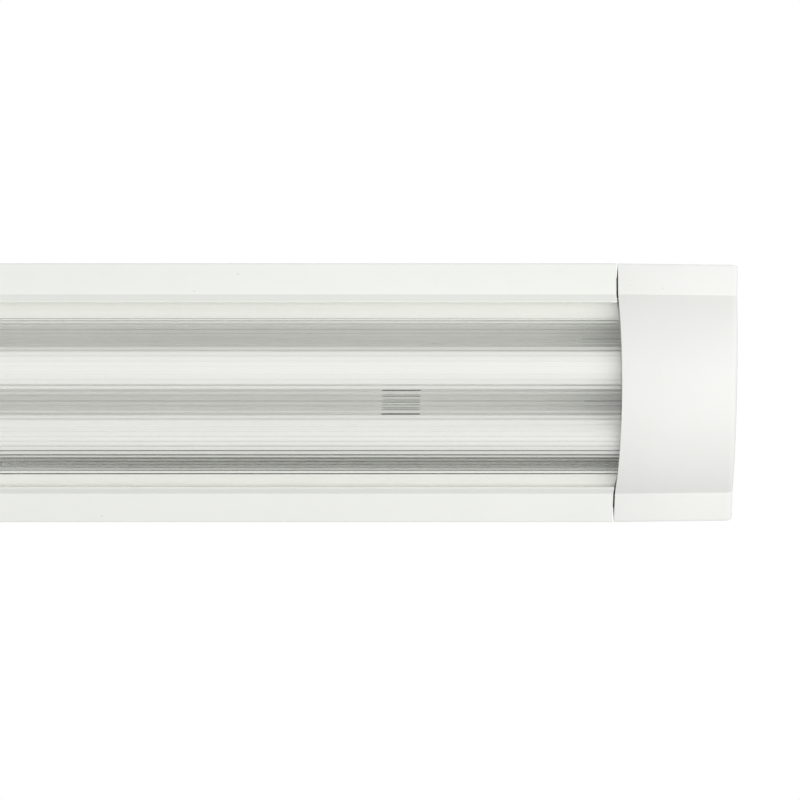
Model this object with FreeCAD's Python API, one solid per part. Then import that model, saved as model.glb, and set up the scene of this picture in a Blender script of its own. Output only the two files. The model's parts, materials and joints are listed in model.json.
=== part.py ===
import FreeCAD, Part
import math
import os
from FreeCAD import Vector

# A ceiling batten for two T8 LED tubes, in millimetres.
# X runs along the batten, Y across it and Z up. The origin is the centre of the back face, which
# lies against the ceiling, so a depth is measured down from there, towards the room.

# Tubes, of the 4 ft T8 size with G13 pins
tube_face_length = 1199.4
tube_radius = 12.75
tube_wall = 1.0
tube_depth = 21.5
tube_gap = 13.0
tube_pair_shift = 3.6  # both tubes sit to one side, which leaves a wider wiring channel on the other
ferrule_wall = 0.3
ferrule_length = 12.0
ferrule_base = 2.0
ferrule_fit = 0.05
pin_radius = 1.175
pin_spacing = 12.7
pin_reach = 7.1
pin_root = 1.5
pin_fit = 0.05

# Outline across the batten, worked outwards from the tubes to the rims, which are rounded to 152 wide
ledge_clearance = 6.45
ledge_width = 11.6
lip_width = 4.0
flange_width = 19.4
side_run = 32.4
crease_depth = 20.5
ledge_rise = 0.9
flange_fall = 3.5
rim_round = 0.9
tube_clearance = 3.0  # from the outer tube's end caps to the cover's ribs, which sets the arch

# Sheet steel tray
sheet = 0.6
bend_round = 0.9
crease_round = 0.5
hem_round = 0.5
ledge_foot_round = 0.3

# Moulded end caps
end_room = 13.6  # from a holder bracket to the far face of its end cap
cap_length = 71.6
cap_wall = 1.5
seam_gap = 0.8
cap_end_round = 3.2
cap_end_steps = 7
cap_end_lean = math.tan(math.radians(7.5))
cap_taper = 0.9  # how far each long side has come in at the far end
cap_lip_round = 0.3
lug_place_shares = (0.11, 0.48)  # of the way from the crease to the rim
lug_reach = 14.0
lug_root = 16.0
lug_clearance = 0.3
lug_flange_gap = 2.0  # the seam shows a dark gap, so the tongue lies well behind the flange

# Ribbed cover
cover_wall = 1.2
cover_gap = 0.3
cover_overlap = 12.0
rib_height = 0.4
rib_half_base = 0.45
rib_pitch = 3.0
fine_rib_pitch = 2.3
wide_rib_setback = 22.0
fine_rib_setback = 10.0
last_rib_setback = 1.0

# What a tube holds
led_board_width = 10.0
led_board_thickness = 1.0
led_board_gap = 0.1
led_board_stop = 20.0
led_length = 3.5
led_width = 2.8
led_height = 0.8
led_pitch = 16.0
led_first = 12.0
driver_length = 48.0
driver_width = 17.0
driver_thickness = 1.2
driver_stand_off = 0.3
driver_part_height = 6.0

# Rotary lamp holders
holder_gap = 0.5
holder_depth = 12.0
holder_width = 23.0
rotor_rim = 0.225
rotor_fit = 0.05
rotor_floor = 1.5
pin_slot_play = 0.2
pin_end_gap = 0.3
contact_gap = 0.1
contact_thickness = 0.4
contact_leaf_half_height = 3.0
contact_leaf_start = 1.5
contact_leaf_width = 4.5
contact_tail_start = 3.0
contact_tail_width = 4.0
contact_tail_above = 1.5
contact_pocket_play = 0.1
peg_radius = 1.5
peg_fit = 0.1
peg_reach = 1.6
peg_depth = 10.0

# Holder brackets
bracket_sheet = 0.8
bracket_margin = 2.6
bracket_shoulder_drop = 2.5
bracket_shoulder_width = 11.4
bracket_leg_width = 20.0
bracket_leg_overlap = 24.0
rivet_radius = 1.6
rivet_fit = 0.1
rivet_head_radius = 3.0
rivet_head_height = 1.0
rivet_insets = (7.0, 17.0)

# Fixing slots in the tray's floor, and the cable entry, both set in from the tray's ends
slot_inset = 130.2
slot_length = 23.0
slot_width = 4.5
slot_shift = 3.8
grommet_inset = 34.2
grommet_margin = 0.5
grommet_bore_radius = 4.5
grommet_neck_radius = 5.9
grommet_neck_fit = 0.1
grommet_flange_radius = 8.5
grommet_flange = 2.0
grommet_collar = 2.0

# Wiring at the left end
wire_radius = 0.9
wire_bend = 3.0
wire_depth = 5.0
wire_hole_play = 0.1
wire_pair_half_gap = 1.0
inner_wire_half_gap = 2.3
block_wire_room = 2.5
holder_wire_room = 3.15
holder_wire_inset = 5.0
clip_inset = 14.2
clip_length = 6.0
clip_margin = 1.6

# Terminal block
block_grommet_gap = 24.5
block_margin = 1.0
block_wall = 1.5
block_end = 4.3
block_height = 13.0
block_round = 1.0
way_rib = 0.5
way_hole_radius = 2.1
clamp_length = 5.4
clamp_width = 8.0
clamp_height = 6.0
clamp_play = 0.1
clamp_screw_radius = 1.3
clamp_screw_play = 0.1
clamp_screw_side = 2.2
clamp_screw_gap = 0.2
block_screw_radius = 1.1
block_screw_head_radius = 1.7
block_screw_head = 1.6
block_screw_play = 0.1

# Earth screw
earth_reach = 18.5
earth_screw_radius = 2.0
earth_screw_play = 0.1
earth_head_radius = 3.5
earth_head_height = 2.4
earth_tag_radius = 4.2
earth_tag_thickness = 0.8
earth_barrel_length = 5.0
earth_barrel_radius = 1.8
earth_strap_length = 2.0
screw_drive_width = 0.8
screw_drive_depth = 0.8

# Every cut runs this far past what it cuts
overrun = 1.0

# Places along the batten, worked outwards from the tubes
tube_half = tube_face_length / 2
holder_x = tube_half + holder_gap
upright_x = holder_x + holder_depth
bracket_end = upright_x + bracket_sheet
half_length = bracket_end + end_room
seam_x = half_length - cap_length
tray_half_length = seam_x - seam_gap
cover_half_length = tray_half_length + cover_overlap
leg_start = tray_half_length - bracket_leg_overlap
ends = ("left", "right")

# Places across the batten
ferrule_radius = tube_radius + ferrule_fit + ferrule_wall
tube_pitch = 2 * tube_radius + tube_gap
tube_sides = {"a": tube_pair_shift - tube_pitch / 2, "b": tube_pair_shift + tube_pitch / 2}
ledge_half_width = tube_sides["b"] + ferrule_radius + ledge_clearance
lip_half_width = ledge_half_width + ledge_width
crease_half_width = lip_half_width + lip_width
rim_half_width = crease_half_width + flange_width
floor_half_width = rim_half_width - side_run
bracket_half_width = floor_half_width - bracket_margin
slot_side = tube_pair_shift + slot_shift

# Depths
rim_depth = crease_depth - flange_fall
ledge_depth = crease_depth - ledge_rise
bracket_top = sheet + bracket_sheet

# Holders and pins
rotor_radius = pin_spacing / 2 + pin_radius + rotor_rim
pin_slot_width = 2 * (pin_radius + pin_slot_play)
pin_slot_depth = pin_reach - holder_gap + pin_end_gap
rotor_length = pin_slot_depth + rotor_floor
contact_inner = rotor_radius + contact_gap
contact_outer = contact_inner + contact_thickness

# Grommet, terminal block, earth screw and wires
grommet_x = -(tray_half_length - grommet_inset)
grommet_side = -(floor_half_width - grommet_margin - grommet_flange_radius)
way_pitch = clamp_length + 2 * (clamp_play + block_screw_radius + block_screw_play + way_rib)
block_length = 2 * way_pitch + clamp_length + 2 * block_end
block_width = clamp_width + 2 * block_wall
block_x = grommet_x + grommet_flange_radius + block_grommet_gap + block_length / 2
block_side = -(floor_half_width - block_margin - block_width / 2)
earth_side = block_side + earth_reach
inner_wire_sides = {"a": tube_pair_shift - inner_wire_half_gap, "b": tube_pair_shift + inner_wire_half_gap}
outer_wire_sides = {"a": block_side - block_width / 2 - block_wire_room,
                    "b": tube_sides["b"] + holder_width / 2 + holder_wire_room}


def arch_centre():
    """Depth of the centre of the arch that runs through both creases and clears the outer tube.

    The arch's radius is both the way from its centre to a crease and, less keep, the way to the
    tube's middle. Their difference makes the radius base + slope * centre.
    """
    keep = ferrule_radius + tube_clearance + rib_height + cover_wall + cover_gap + cap_wall
    crease = crease_half_width**2 + crease_depth**2
    base = (crease - tube_sides["b"] ** 2 - tube_depth**2 + keep**2) / (2 * keep)
    slope = (tube_depth - crease_depth) / keep
    half = base * slope + crease_depth
    square = slope**2 - 1
    return (-half + math.sqrt(half**2 - square * (base**2 - crease))) / square


# The arch, which the end caps show and the cover follows inside them
arch_centre_depth = arch_centre()
arch_radius = math.hypot(crease_half_width, crease_depth - arch_centre_depth)
crown_depth = arch_centre_depth + arch_radius
arch_rise = crown_depth - crease_depth
lip_depth = arch_centre_depth + math.sqrt(arch_radius**2 - lip_half_width**2)
cover_radius = arch_radius - cap_wall - cover_gap


def at(x, y, depth):
    """A point, from its place along, its place across and its depth below the back face."""
    return Vector(x, y, -depth)


def shifted(first, second, by):
    """The section line from first to second, moved inwards: a point on it and its direction."""
    across, down = second[0] - first[0], second[1] - first[1]
    size = math.hypot(across, down)
    return (first[0] - down / size * by, first[1] + across / size * by), (across / size, down / size)


def level(depth):
    """The section line that keeps one depth."""
    return (0, depth), (1, 0)


def meeting(first, second):
    """Where two section lines cross."""
    (p, u), (q, v) = first, second
    along = ((q[0] - p[0]) * v[1] - (q[1] - p[1]) * v[0]) / (u[0] * v[1] - u[1] * v[0])
    return p[0] + u[0] * along, p[1] + u[1] * along


def meeting_arc(line, centre_depth, radius):
    """Where a section line first meets an arc about the middle, going the line's way."""
    (y, depth), (across, down) = line
    below = depth - centre_depth
    half = y * across + below * down
    along = -half - math.sqrt(half**2 - y**2 - below**2 + radius**2)
    return y + across * along, depth + down * along


def on_line(line, y):
    """The point of a section line at one place across."""
    (start, depth), (across, down) = line
    return y, depth + (y - start) / across * down


def corner(before, here, after, radius):
    """Start, middle and end of the round in a corner."""
    back, forward = (before - here).normalize(), (after - here).normalize()
    half = back.getAngle(forward) / 2
    middle = (back + forward).normalize() * (radius / math.sin(half) - radius)
    reach = radius / math.tan(half)
    return [here + back * reach, here + middle, here + forward * reach]


def outline(points, x=0, lean=0):
    """A closed wire across the batten, from (y, depth, round) points.

    A round of None makes the wire an arc through that point. A lean tilts the wire's plane.
    """
    count = len(points)
    place = [at(x - lean * depth, y, depth) for y, depth, radius in points]
    corners = []
    for i, (y, depth, radius) in enumerate(points):
        sides = place[i - 1], place[i], place[(i + 1) % count]
        corners.append(corner(*sides, radius) if radius else [place[i]])
    edges = []
    for i, here in enumerate(corners):
        after, second = (i + 1) % count, (i + 2) % count
        if len(here) > 1:
            edges.append(Part.Arc(*here).toShape())
        if points[i][2] is None:
            continue
        if points[after][2] is None:
            edges.append(Part.Arc(here[-1], place[after], corners[second][0]).toShape())
        else:
            edges.append(Part.LineSegment(here[-1], corners[after][0]).toShape())
    return Part.Wire(edges)


def both_sides(right, middle=()):
    """Outline points of a section that is the same on both sides, from those of its right half."""
    left = [(-y, depth, radius) for y, depth, radius in reversed(right)]
    return list(right) + list(middle) + left


def along_x(points, start, end):
    """A solid with one section all the way from start to end."""
    return Part.Face(outline(points, start)).extrude(Vector(end - start, 0, 0))


def box(x, y, depth, size_x, size_y, size_depth):
    """A block centred on x and y, from one depth down."""
    corner_point = at(x - size_x / 2, y - size_y / 2, depth + size_depth)
    return Part.makeBox(size_x, size_y, size_depth, corner_point)


def bar(x, y, depth, radius, length):
    """A round bar along X, from x on."""
    return Part.makeCylinder(radius, length, at(x, y, depth), Vector(1, 0, 0))


def post(x, y, depth, radius, length):
    """A round post that reaches down from one depth."""
    return Part.makeCylinder(radius, length, at(x, y, depth), Vector(0, 0, -1))


def other_end(shape):
    """The same piece at the left end."""
    return shape.mirror(Vector(0, 0, 0), Vector(1, 0, 0))


def at_end(shape, end):
    """A piece modelled at the right end, at either end."""
    return shape if end == "right" else other_end(shape)


def clean_cut(shape, tools):
    """The shape without the tools, as one clean solid."""
    return shape.cut(tools).removeSplitter()


def tray_section():
    """Outline of the folded sheet: floor, sloping sides, flanges, hemmed lips and inner ledges."""
    floor = (floor_half_width, 0)
    rim = (rim_half_width, rim_depth)
    crease = (crease_half_width, crease_depth)
    lip = (lip_half_width, lip_depth)
    side_in = shifted(floor, rim, sheet)
    flange_in = shifted(rim, crease, sheet)
    slope_in = shifted(crease, lip, sheet)
    hem_in = shifted(crease, lip, 2 * sheet)
    lip_end = shifted(lip, crease, -2 * sheet)[0]
    ledge_top = ledge_depth - sheet
    right = [
        (*floor, bend_round),
        (*rim, rim_round),
        (*crease, crease_round),
        (*lip, hem_round),
        (*lip_end, hem_round),
        (*meeting(hem_in, level(ledge_depth)), ledge_foot_round),
        (ledge_half_width, ledge_depth, 0),
        (ledge_half_width, ledge_top, 0),
        (*meeting(slope_in, level(ledge_top)), 0),
        (*meeting(flange_in, slope_in), 0),
        (*meeting(side_in, flange_in), rim_round - sheet),
        (*meeting(level(sheet), side_in), bend_round - sheet),
    ]
    return both_sides(right)


def slot_cut(x, y):
    """A fixing slot through the floor, with round ends."""
    straight = slot_length - slot_width
    cut = box(x, y, -overrun, straight, slot_width, sheet + 2 * overrun)
    for side in (-1, 1):
        cut = cut.fuse(post(x + side * straight / 2, y, -overrun, slot_width / 2, sheet + 2 * overrun))
    return cut.removeSplitter()


def rivet_places():
    """Where the rivets go at the right end: two in each leg of the bracket."""
    return [(leg_start + inset, side) for side in tube_sides.values() for inset in rivet_insets]


def make_base_tray():
    """The folded tray, with its slots and its holes for the rivets, screws and grommet."""
    tray = along_x(tray_section(), -tray_half_length, tray_half_length)
    through = sheet + 2 * overrun
    slot_x = tray_half_length - slot_inset
    cuts = [slot_cut(side * slot_x, slot_side) for side in (-1, 1)]
    cuts.append(post(grommet_x, grommet_side, -overrun, grommet_neck_radius + grommet_neck_fit, through))
    for x, y in rivet_places():
        cuts += [post(side * x, y, -overrun, rivet_radius + rivet_fit, through) for side in (-1, 1)]
    for x in block_screw_places():
        cuts.append(post(x, block_side, -overrun, block_screw_radius + block_screw_play, through))
    cuts.append(post(block_x, earth_side, -overrun, earth_screw_radius + earth_screw_play, through))
    return clean_cut(tray, cuts)


def cap_wire(x, lean, inset, spread, back, rim_rounding):
    """The end cap's outline at one place, with its walls moved inwards and its sides brought in."""
    floor = (floor_half_width * spread, 0)
    rim = (rim_half_width * spread, rim_depth)
    crease = (crease_half_width * spread, crease_depth)
    radius = (crease[0] ** 2 + arch_rise**2) / (2 * arch_rise)
    side, flange = shifted(floor, rim, inset), shifted(rim, crease, inset)
    right = [
        (*meeting(side, level(back)), 0),
        (*meeting(side, flange), rim_rounding),
        (*meeting_arc(flange, crown_depth - radius, radius - inset), 0),
    ]
    return outline(both_sides(right, [(0, crown_depth - inset, None)]), x, lean)


def cap_body(inset, back, start, end, end_round, rim_rounding, lip_round):
    """A solid of the end cap's outline, closed by a rounded far end that leans in."""
    def wire(x, lean, more):
        spread = 1 - cap_taper / rim_half_width * (x - seam_x) / cap_length
        return cap_wire(x, lean, inset + more, spread, back, rim_rounding)

    wires = [wire(start, 0, lip_round)] if lip_round else []
    wires.append(wire(start + lip_round, 0, 0))
    for step in range(cap_end_steps + 1):
        turn = math.pi / 2 * step / cap_end_steps
        x = end - end_round * (1 - math.sin(turn))
        wires.append(wire(x, cap_end_lean, end_round * (1 - math.cos(turn))))
    return Part.makeLoft(wires, True, True)


def lug_section():
    """Outline of the tongue that slides into the hollow of the tray's rim."""
    rim = (rim_half_width, rim_depth)
    side = shifted((floor_half_width, 0), rim, sheet + lug_clearance)
    flange = shifted(rim, (crease_half_width, crease_depth), sheet + lug_flange_gap)
    inner, outer = (crease_half_width + share * flange_width for share in lug_place_shares)
    return [
        (*on_line(side, inner), 0),
        (*on_line(side, outer), 0),
        (*on_line(flange, outer), 0),
        (*on_line(flange, inner), 0),
    ]


def make_end_cap():
    """The right end cap: a moulded shell, open at the back, with two tongues."""
    outer = cap_body(0, 0, seam_x, half_length, cap_end_round, rim_round, cap_lip_round)
    inner_round = cap_end_round - cap_wall
    inner_end = half_length - cap_wall
    inner = cap_body(cap_wall, -overrun, seam_x - overrun, inner_end, inner_round, rim_round / 2, 0)
    cap = outer.cut(inner)
    for side in (-1, 1):
        points = [(side * y, depth, radius) for y, depth, radius in lug_section()]
        cap = cap.fuse(along_x(points, seam_x - lug_reach, seam_x + lug_root))
    return cap.removeSplitter()


def rib_angles():
    """Angles of the ribs about the arch's centre, from the middle out to one side."""
    radius = cover_radius - cover_wall
    zones = ((wide_rib_setback, rib_pitch), (fine_rib_setback, fine_rib_pitch), (last_rib_setback, rib_pitch))
    angles = [0]
    for setback, pitch in zones:
        step = pitch / radius
        while radius * math.sin(angles[-1] + step) < lip_half_width - setback:
            angles.append(angles[-1] + step)
    return angles


def on_arch(radius, angle):
    """The point of a circle about the arch's centre, at an angle from the middle."""
    return radius * math.sin(angle), arch_centre_depth + radius * math.cos(angle)


def make_light_cover():
    """The arched cover, smooth outside and ribbed inside, with flat feet on the ledges."""
    inner_radius = cover_radius - cover_wall
    foot_depth = ledge_depth + cover_gap
    below = foot_depth - arch_centre_depth
    outer_foot, inner_foot = (math.sqrt(radius**2 - below**2) for radius in (cover_radius, inner_radius))
    half_turn = rib_half_base / inner_radius
    angles = rib_angles()
    inside = [(inner_foot, foot_depth)]
    for angle in reversed(angles):
        for turn, height in ((half_turn, 0), (0, rib_height), (-half_turn, 0)):
            inside.append(on_arch(inner_radius - height, angle + turn))
    inside += [(-y, depth) for y, depth in reversed(inside[:-3])]
    last = -math.asin(outer_foot / cover_radius)
    outside = [(-outer_foot, foot_depth, 0)]
    for angle in [-angle for angle in reversed(angles[1:])] + angles + [-last]:
        outside += [(*on_arch(cover_radius, (last + angle) / 2), None), (*on_arch(cover_radius, angle), 0)]
        last = angle
    points = [(*point, 0) for point in inside] + outside
    return along_x(points, -cover_half_length, cover_half_length)


def make_tube_glass(y):
    """The opal tube, which ends inside the cups at both ends."""
    start = -tube_half + ferrule_base + ferrule_fit
    length = -2 * start
    glass = bar(start, y, tube_depth, tube_radius, length)
    return glass.cut(bar(start - overrun, y, tube_depth, tube_radius - tube_wall, length + 2 * overrun))


def make_ferrule(y):
    """The cup that closes the right end of a tube and holds its pins."""
    start = tube_half - ferrule_length
    cup = bar(start, y, tube_depth, ferrule_radius, ferrule_length)
    hollow = bar(start - overrun, y, tube_depth, tube_radius + ferrule_fit,
                 ferrule_length - ferrule_base + overrun)
    holes = [bar(start, y + side * pin_spacing / 2, tube_depth, pin_radius + pin_fit,
                 ferrule_length + overrun) for side in (-1, 1)]
    return cup.cut([hollow] + holes)


def make_pins(y):
    """The four pins of a tube."""
    start = tube_half - pin_root
    pins = [bar(start, y + side * pin_spacing / 2, tube_depth, pin_radius, pin_root + pin_reach)
            for side in (-1, 1)]
    return pins + [other_end(pin) for pin in pins]


def led_board_back():
    """Depth of the LED board's back, which lies against the inside of the tube."""
    reach = tube_radius - tube_wall - led_board_gap
    return tube_depth - math.sqrt(reach**2 - (led_board_width / 2) ** 2)


def led_span():
    """Where the LED board starts and ends."""
    return driver_start() + driver_length, tube_half - led_board_stop


def driver_start():
    """Where the driver starts, just inside the left end of its tube."""
    return -tube_half + ferrule_base + driver_stand_off


def make_led_board(y):
    """The strip that carries the LEDs, from the driver to the far end."""
    start, end = led_span()
    middle, length = (start + end) / 2, end - start
    return box(middle, y, led_board_back(), length, led_board_width, led_board_thickness)


def make_leds(y):
    """The row of LEDs on their board, which face the room."""
    start, end = led_span()
    depth = led_board_back() + led_board_thickness
    count = int((end - start - 2 * led_first) / led_pitch) + 1
    return [box(start + led_first + i * led_pitch, y, depth, led_length, led_width, led_height)
            for i in range(count)]


def make_driver(y):
    """The driver: a board across the tube with a capacitor, a coil, a fuse and a chip."""
    start = driver_start()
    middle = start + driver_length / 2
    board = box(middle, y, tube_depth, driver_length, driver_width, driver_thickness)
    face = tube_depth + driver_thickness
    part_shares = ((0.14, 0.16, 0.7), (0.38, 0.2, 0.9), (0.62, 0.14, 0.5), (0.84, 0.18, 0.35))
    for place_share, length_share, height_share in part_shares:
        board = board.fuse(box(start + place_share * driver_length, y, face, length_share * driver_length,
                               driver_width / 2, height_share * driver_part_height))
    return board.removeSplitter()


def contact_shapes(y, play):
    """The two spring contacts of a right-hand holder, or with play the pockets that they sit in."""
    shapes = []
    for side in (-1, 1):
        thickness = contact_thickness + 2 * play
        place = y + side * (contact_inner + contact_outer) / 2
        leaf_middle = holder_x + contact_leaf_start + contact_leaf_width / 2
        leaf = box(leaf_middle, place, tube_depth - contact_leaf_half_height - play,
                   contact_leaf_width + 2 * play, thickness, 2 * (contact_leaf_half_height + play))
        top = wire_depth - contact_tail_above - play
        tail_middle = holder_x + contact_tail_start + contact_tail_width / 2
        tail = box(tail_middle, place, top, contact_tail_width + 2 * play, thickness, tube_depth - top)
        shapes.append(leaf.fuse(tail).removeSplitter())
    return shapes


def make_lamp_holder(y):
    """A right-hand G13 holder: a block with a round foot, a rotor bore and an entry slot below it."""
    half = holder_width / 2
    points = [(y + half, bracket_top, 0), (y + half, tube_depth, 0), (y, tube_depth + half, None),
              (y - half, tube_depth, 0), (y - half, bracket_top, 0)]
    body = along_x(points, holder_x, upright_x)
    body = body.fuse(bar(upright_x, y, peg_depth, peg_radius, peg_reach))
    front = holder_x - overrun
    cuts = [bar(front, y, tube_depth, rotor_radius + rotor_fit, rotor_length + rotor_fit + overrun)]
    cuts.append(box(front + (pin_slot_depth + overrun) / 2, y, tube_depth,
                    pin_slot_depth + overrun, pin_slot_width, holder_width))
    cuts += contact_shapes(y, contact_pocket_play)
    wire_x = holder_x + holder_wire_inset
    for side in (-1, 1):
        hole_start = at(wire_x, y + side * contact_outer, wire_depth)
        cuts.append(Part.makeCylinder(wire_radius + wire_hole_play, half - contact_outer + overrun,
                                      hole_start, Vector(0, side, 0)))
    return clean_cut(body, cuts)


def make_rotor(y):
    """The turning part of a right-hand holder, with the slot that carries both pins."""
    rotor = bar(holder_x, y, tube_depth, rotor_radius, rotor_length)
    slot = box(holder_x + pin_slot_depth / 2 - overrun / 2, y, tube_depth - pin_slot_width / 2,
               pin_slot_depth + overrun, 2 * (rotor_radius + overrun), pin_slot_width)
    return rotor.cut(slot)


def make_bracket():
    """A right-hand holder bracket: two legs on the tray's floor, a base plate and an upright."""
    base_length = bracket_end - tray_half_length
    base = box(tray_half_length + base_length / 2, 0, sheet, base_length, 2 * bracket_half_width,
               bracket_sheet)
    right = [(bracket_half_width, sheet, 0), (bracket_half_width, tube_depth + bracket_shoulder_drop, 0),
             (bracket_half_width - bracket_shoulder_width, tube_depth + holder_width / 2, 0)]
    bracket = base.fuse(along_x(both_sides(right), upright_x, bracket_end))
    cuts = []
    for y in tube_sides.values():
        leg_middle = leg_start + bracket_leg_overlap / 2
        leg = box(leg_middle, y, sheet, bracket_leg_overlap, bracket_leg_width, bracket_sheet)
        bracket = bracket.fuse(leg)
        cuts.append(bar(upright_x - overrun, y, peg_depth, peg_radius + peg_fit,
                        bracket_sheet + 2 * overrun))
    for x, y in rivet_places():
        cuts.append(post(x, y, 0, rivet_radius + rivet_fit, bracket_top + overrun))
    return clean_cut(bracket, cuts)


def make_rivets():
    """The rivets that hold both brackets, flush with the tray's back."""
    rivets = []
    for x, y in rivet_places():
        rivet = post(x, y, 0, rivet_radius, bracket_top)
        rivet = rivet.fuse(post(x, y, bracket_top, rivet_head_radius, rivet_head_height))
        rivets += [rivet.removeSplitter(), other_end(rivet.removeSplitter())]
    return rivets


def make_grommet():
    """The rubber ring in the cable entry."""
    grommet = post(grommet_x, grommet_side, 0, grommet_neck_radius, sheet + grommet_flange + grommet_collar)
    grommet = grommet.fuse(post(grommet_x, grommet_side, sheet, grommet_flange_radius, grommet_flange))
    length = sheet + grommet_flange + grommet_collar + 2 * overrun
    return clean_cut(grommet, post(grommet_x, grommet_side, -overrun, grommet_bore_radius, length))


def way_places():
    """The terminal block's ways along the batten: live, earth and neutral."""
    return {"live": block_x - way_pitch, "earth": block_x, "neutral": block_x + way_pitch}


def block_screw_places():
    """The two screws between the ways that fix the block to the tray's floor."""
    return [block_x - way_pitch / 2, block_x + way_pitch / 2]


def clamp_top():
    """Depth at which the clamps start, so that the wires run through their middles."""
    return wire_depth - clamp_height / 2


def make_terminal_block():
    """The block's housing, with a pocket and two screw wells for each way."""
    half_width = block_width / 2
    points = [(block_side - half_width, sheet, 0), (block_side + half_width, sheet, 0),
              (block_side + half_width, sheet + block_height, block_round),
              (block_side - half_width, sheet + block_height, block_round)]
    block = along_x(points, block_x - block_length / 2, block_x + block_length / 2)
    bottom = sheet + block_height + overrun
    cuts = []
    for x in way_places().values():
        cuts.append(box(x, block_side, clamp_top() - clamp_play, clamp_length + 2 * clamp_play,
                        clamp_width + 2 * clamp_play, clamp_height + 2 * clamp_play))
        cuts.append(Part.makeCylinder(way_hole_radius, block_width + 2 * overrun,
                                      at(x, block_side - half_width - overrun, wire_depth), Vector(0, 1, 0)))
        for side in (-1, 1):
            cuts.append(post(x, block_side + side * clamp_screw_side, wire_depth,
                             clamp_screw_radius + clamp_screw_play, bottom - wire_depth))
    for x in block_screw_places():
        for depth, radius in ((0, block_screw_radius), (block_screw_seat(), block_screw_head_radius)):
            cuts.append(post(x, block_side, depth, radius + block_screw_play, bottom))
    return clean_cut(block, cuts)


def block_screw_seat():
    """Depth of the shoulder that the fixing screws' heads press on."""
    return sheet + block_height - 2 * block_screw_head


def make_clamps():
    """The brass clamps, one for each way."""
    clamps = []
    for x in way_places().values():
        clamp = box(x, block_side, clamp_top(), clamp_length, clamp_width, clamp_height)
        cuts = [Part.makeCylinder(way_hole_radius, clamp_width + 2 * overrun,
                                  at(x, block_side - clamp_width / 2 - overrun, wire_depth), Vector(0, 1, 0))]
        for side in (-1, 1):
            cuts.append(post(x, block_side + side * clamp_screw_side, wire_depth,
                             clamp_screw_radius, clamp_height))
        clamps.append(clean_cut(clamp, cuts))
    return clamps


def slotted(shape, x, y, depth, radius):
    """A screw with a straight slot across its head, which faces down."""
    cut_depth = depth - screw_drive_depth
    return shape.cut(box(x, y, cut_depth, 2 * (radius + overrun), screw_drive_width,
                         screw_drive_depth + overrun))


def make_clamp_screws():
    """The screws that press the wires in their clamps, two for each way."""
    start = wire_depth + wire_radius + clamp_screw_gap
    end = sheet + block_height
    screws = []
    for x in way_places().values():
        for side in (-1, 1):
            y = block_side + side * clamp_screw_side
            screw = post(x, y, start, clamp_screw_radius, end - start)
            screws.append(slotted(screw, x, y, end, clamp_screw_radius))
    return screws


def make_block_screws():
    """The two screws that fix the block to the tray."""
    screws = []
    seat = block_screw_seat()
    for x in block_screw_places():
        screw = post(x, block_side, 0, block_screw_radius, seat)
        screw = screw.fuse(post(x, block_side, seat, block_screw_head_radius, block_screw_head))
        screws.append(slotted(screw.removeSplitter(), x, block_side, seat + block_screw_head,
                              block_screw_head_radius))
    return screws


def make_earth_screw():
    """The screw that bonds the tray to earth."""
    seat = sheet + earth_tag_thickness
    screw = post(block_x, earth_side, 0, earth_screw_radius, seat)
    screw = screw.fuse(post(block_x, earth_side, seat, earth_head_radius, earth_head_height))
    return slotted(screw.removeSplitter(), block_x, earth_side, seat + earth_head_height, earth_head_radius)


def make_earth_tag():
    """The ring tag under the earth screw, with the barrel that the earth wire ends in."""
    tag = post(block_x, earth_side, sheet, earth_tag_radius, earth_tag_thickness)
    barrel_start = earth_side - earth_tag_radius - earth_barrel_length
    barrel = Part.makeCylinder(earth_barrel_radius, earth_barrel_length,
                               at(block_x, barrel_start, wire_depth), Vector(0, 1, 0))
    strap = box(block_x, earth_side - earth_tag_radius, sheet, earth_barrel_radius, earth_strap_length,
                wire_depth - sheet)
    head_room = post(block_x, earth_side, sheet + earth_tag_thickness, earth_head_radius + earth_screw_play,
                     wire_depth)
    tag = tag.fuse([barrel, strap]).cut(head_room)
    hole = post(block_x, earth_side, 0, earth_screw_radius + earth_screw_play, wire_depth)
    return clean_cut(tag, hole)


def wire_solid(points, name):
    """A round wire along straight runs joined by tangent arcs, through (x, y) points at one depth."""
    places = [at(x, y, wire_depth) for x, y in points]
    edges, start = [], places[0]
    for i in range(1, len(places) - 1):
        round_corner = corner(places[i - 1], places[i], places[i + 1], wire_bend)
        edges.append(Part.LineSegment(start, round_corner[0]).toShape())
        edges.append(Part.Arc(*round_corner).toShape())
        start = round_corner[-1]
    edges.append(Part.LineSegment(start, places[-1]).toShape())
    path = Part.Wire(edges)
    ring = Part.Wire(Part.makeCircle(wire_radius, places[0], places[1] - places[0]))
    wire = path.makePipeShell([ring], True, False)
    share = wire.Volume / (math.pi * wire_radius**2 * path.Length)
    print(f"{name}: {path.Length:.1f} long, bends of {wire_bend}, {share:.4f} of section times length")
    return wire


def holder_entry(tube, side):
    """Where a wire ends inside a left-hand holder, beside the contact's tail."""
    return tube_sides[tube] + side * contact_outer


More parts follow.
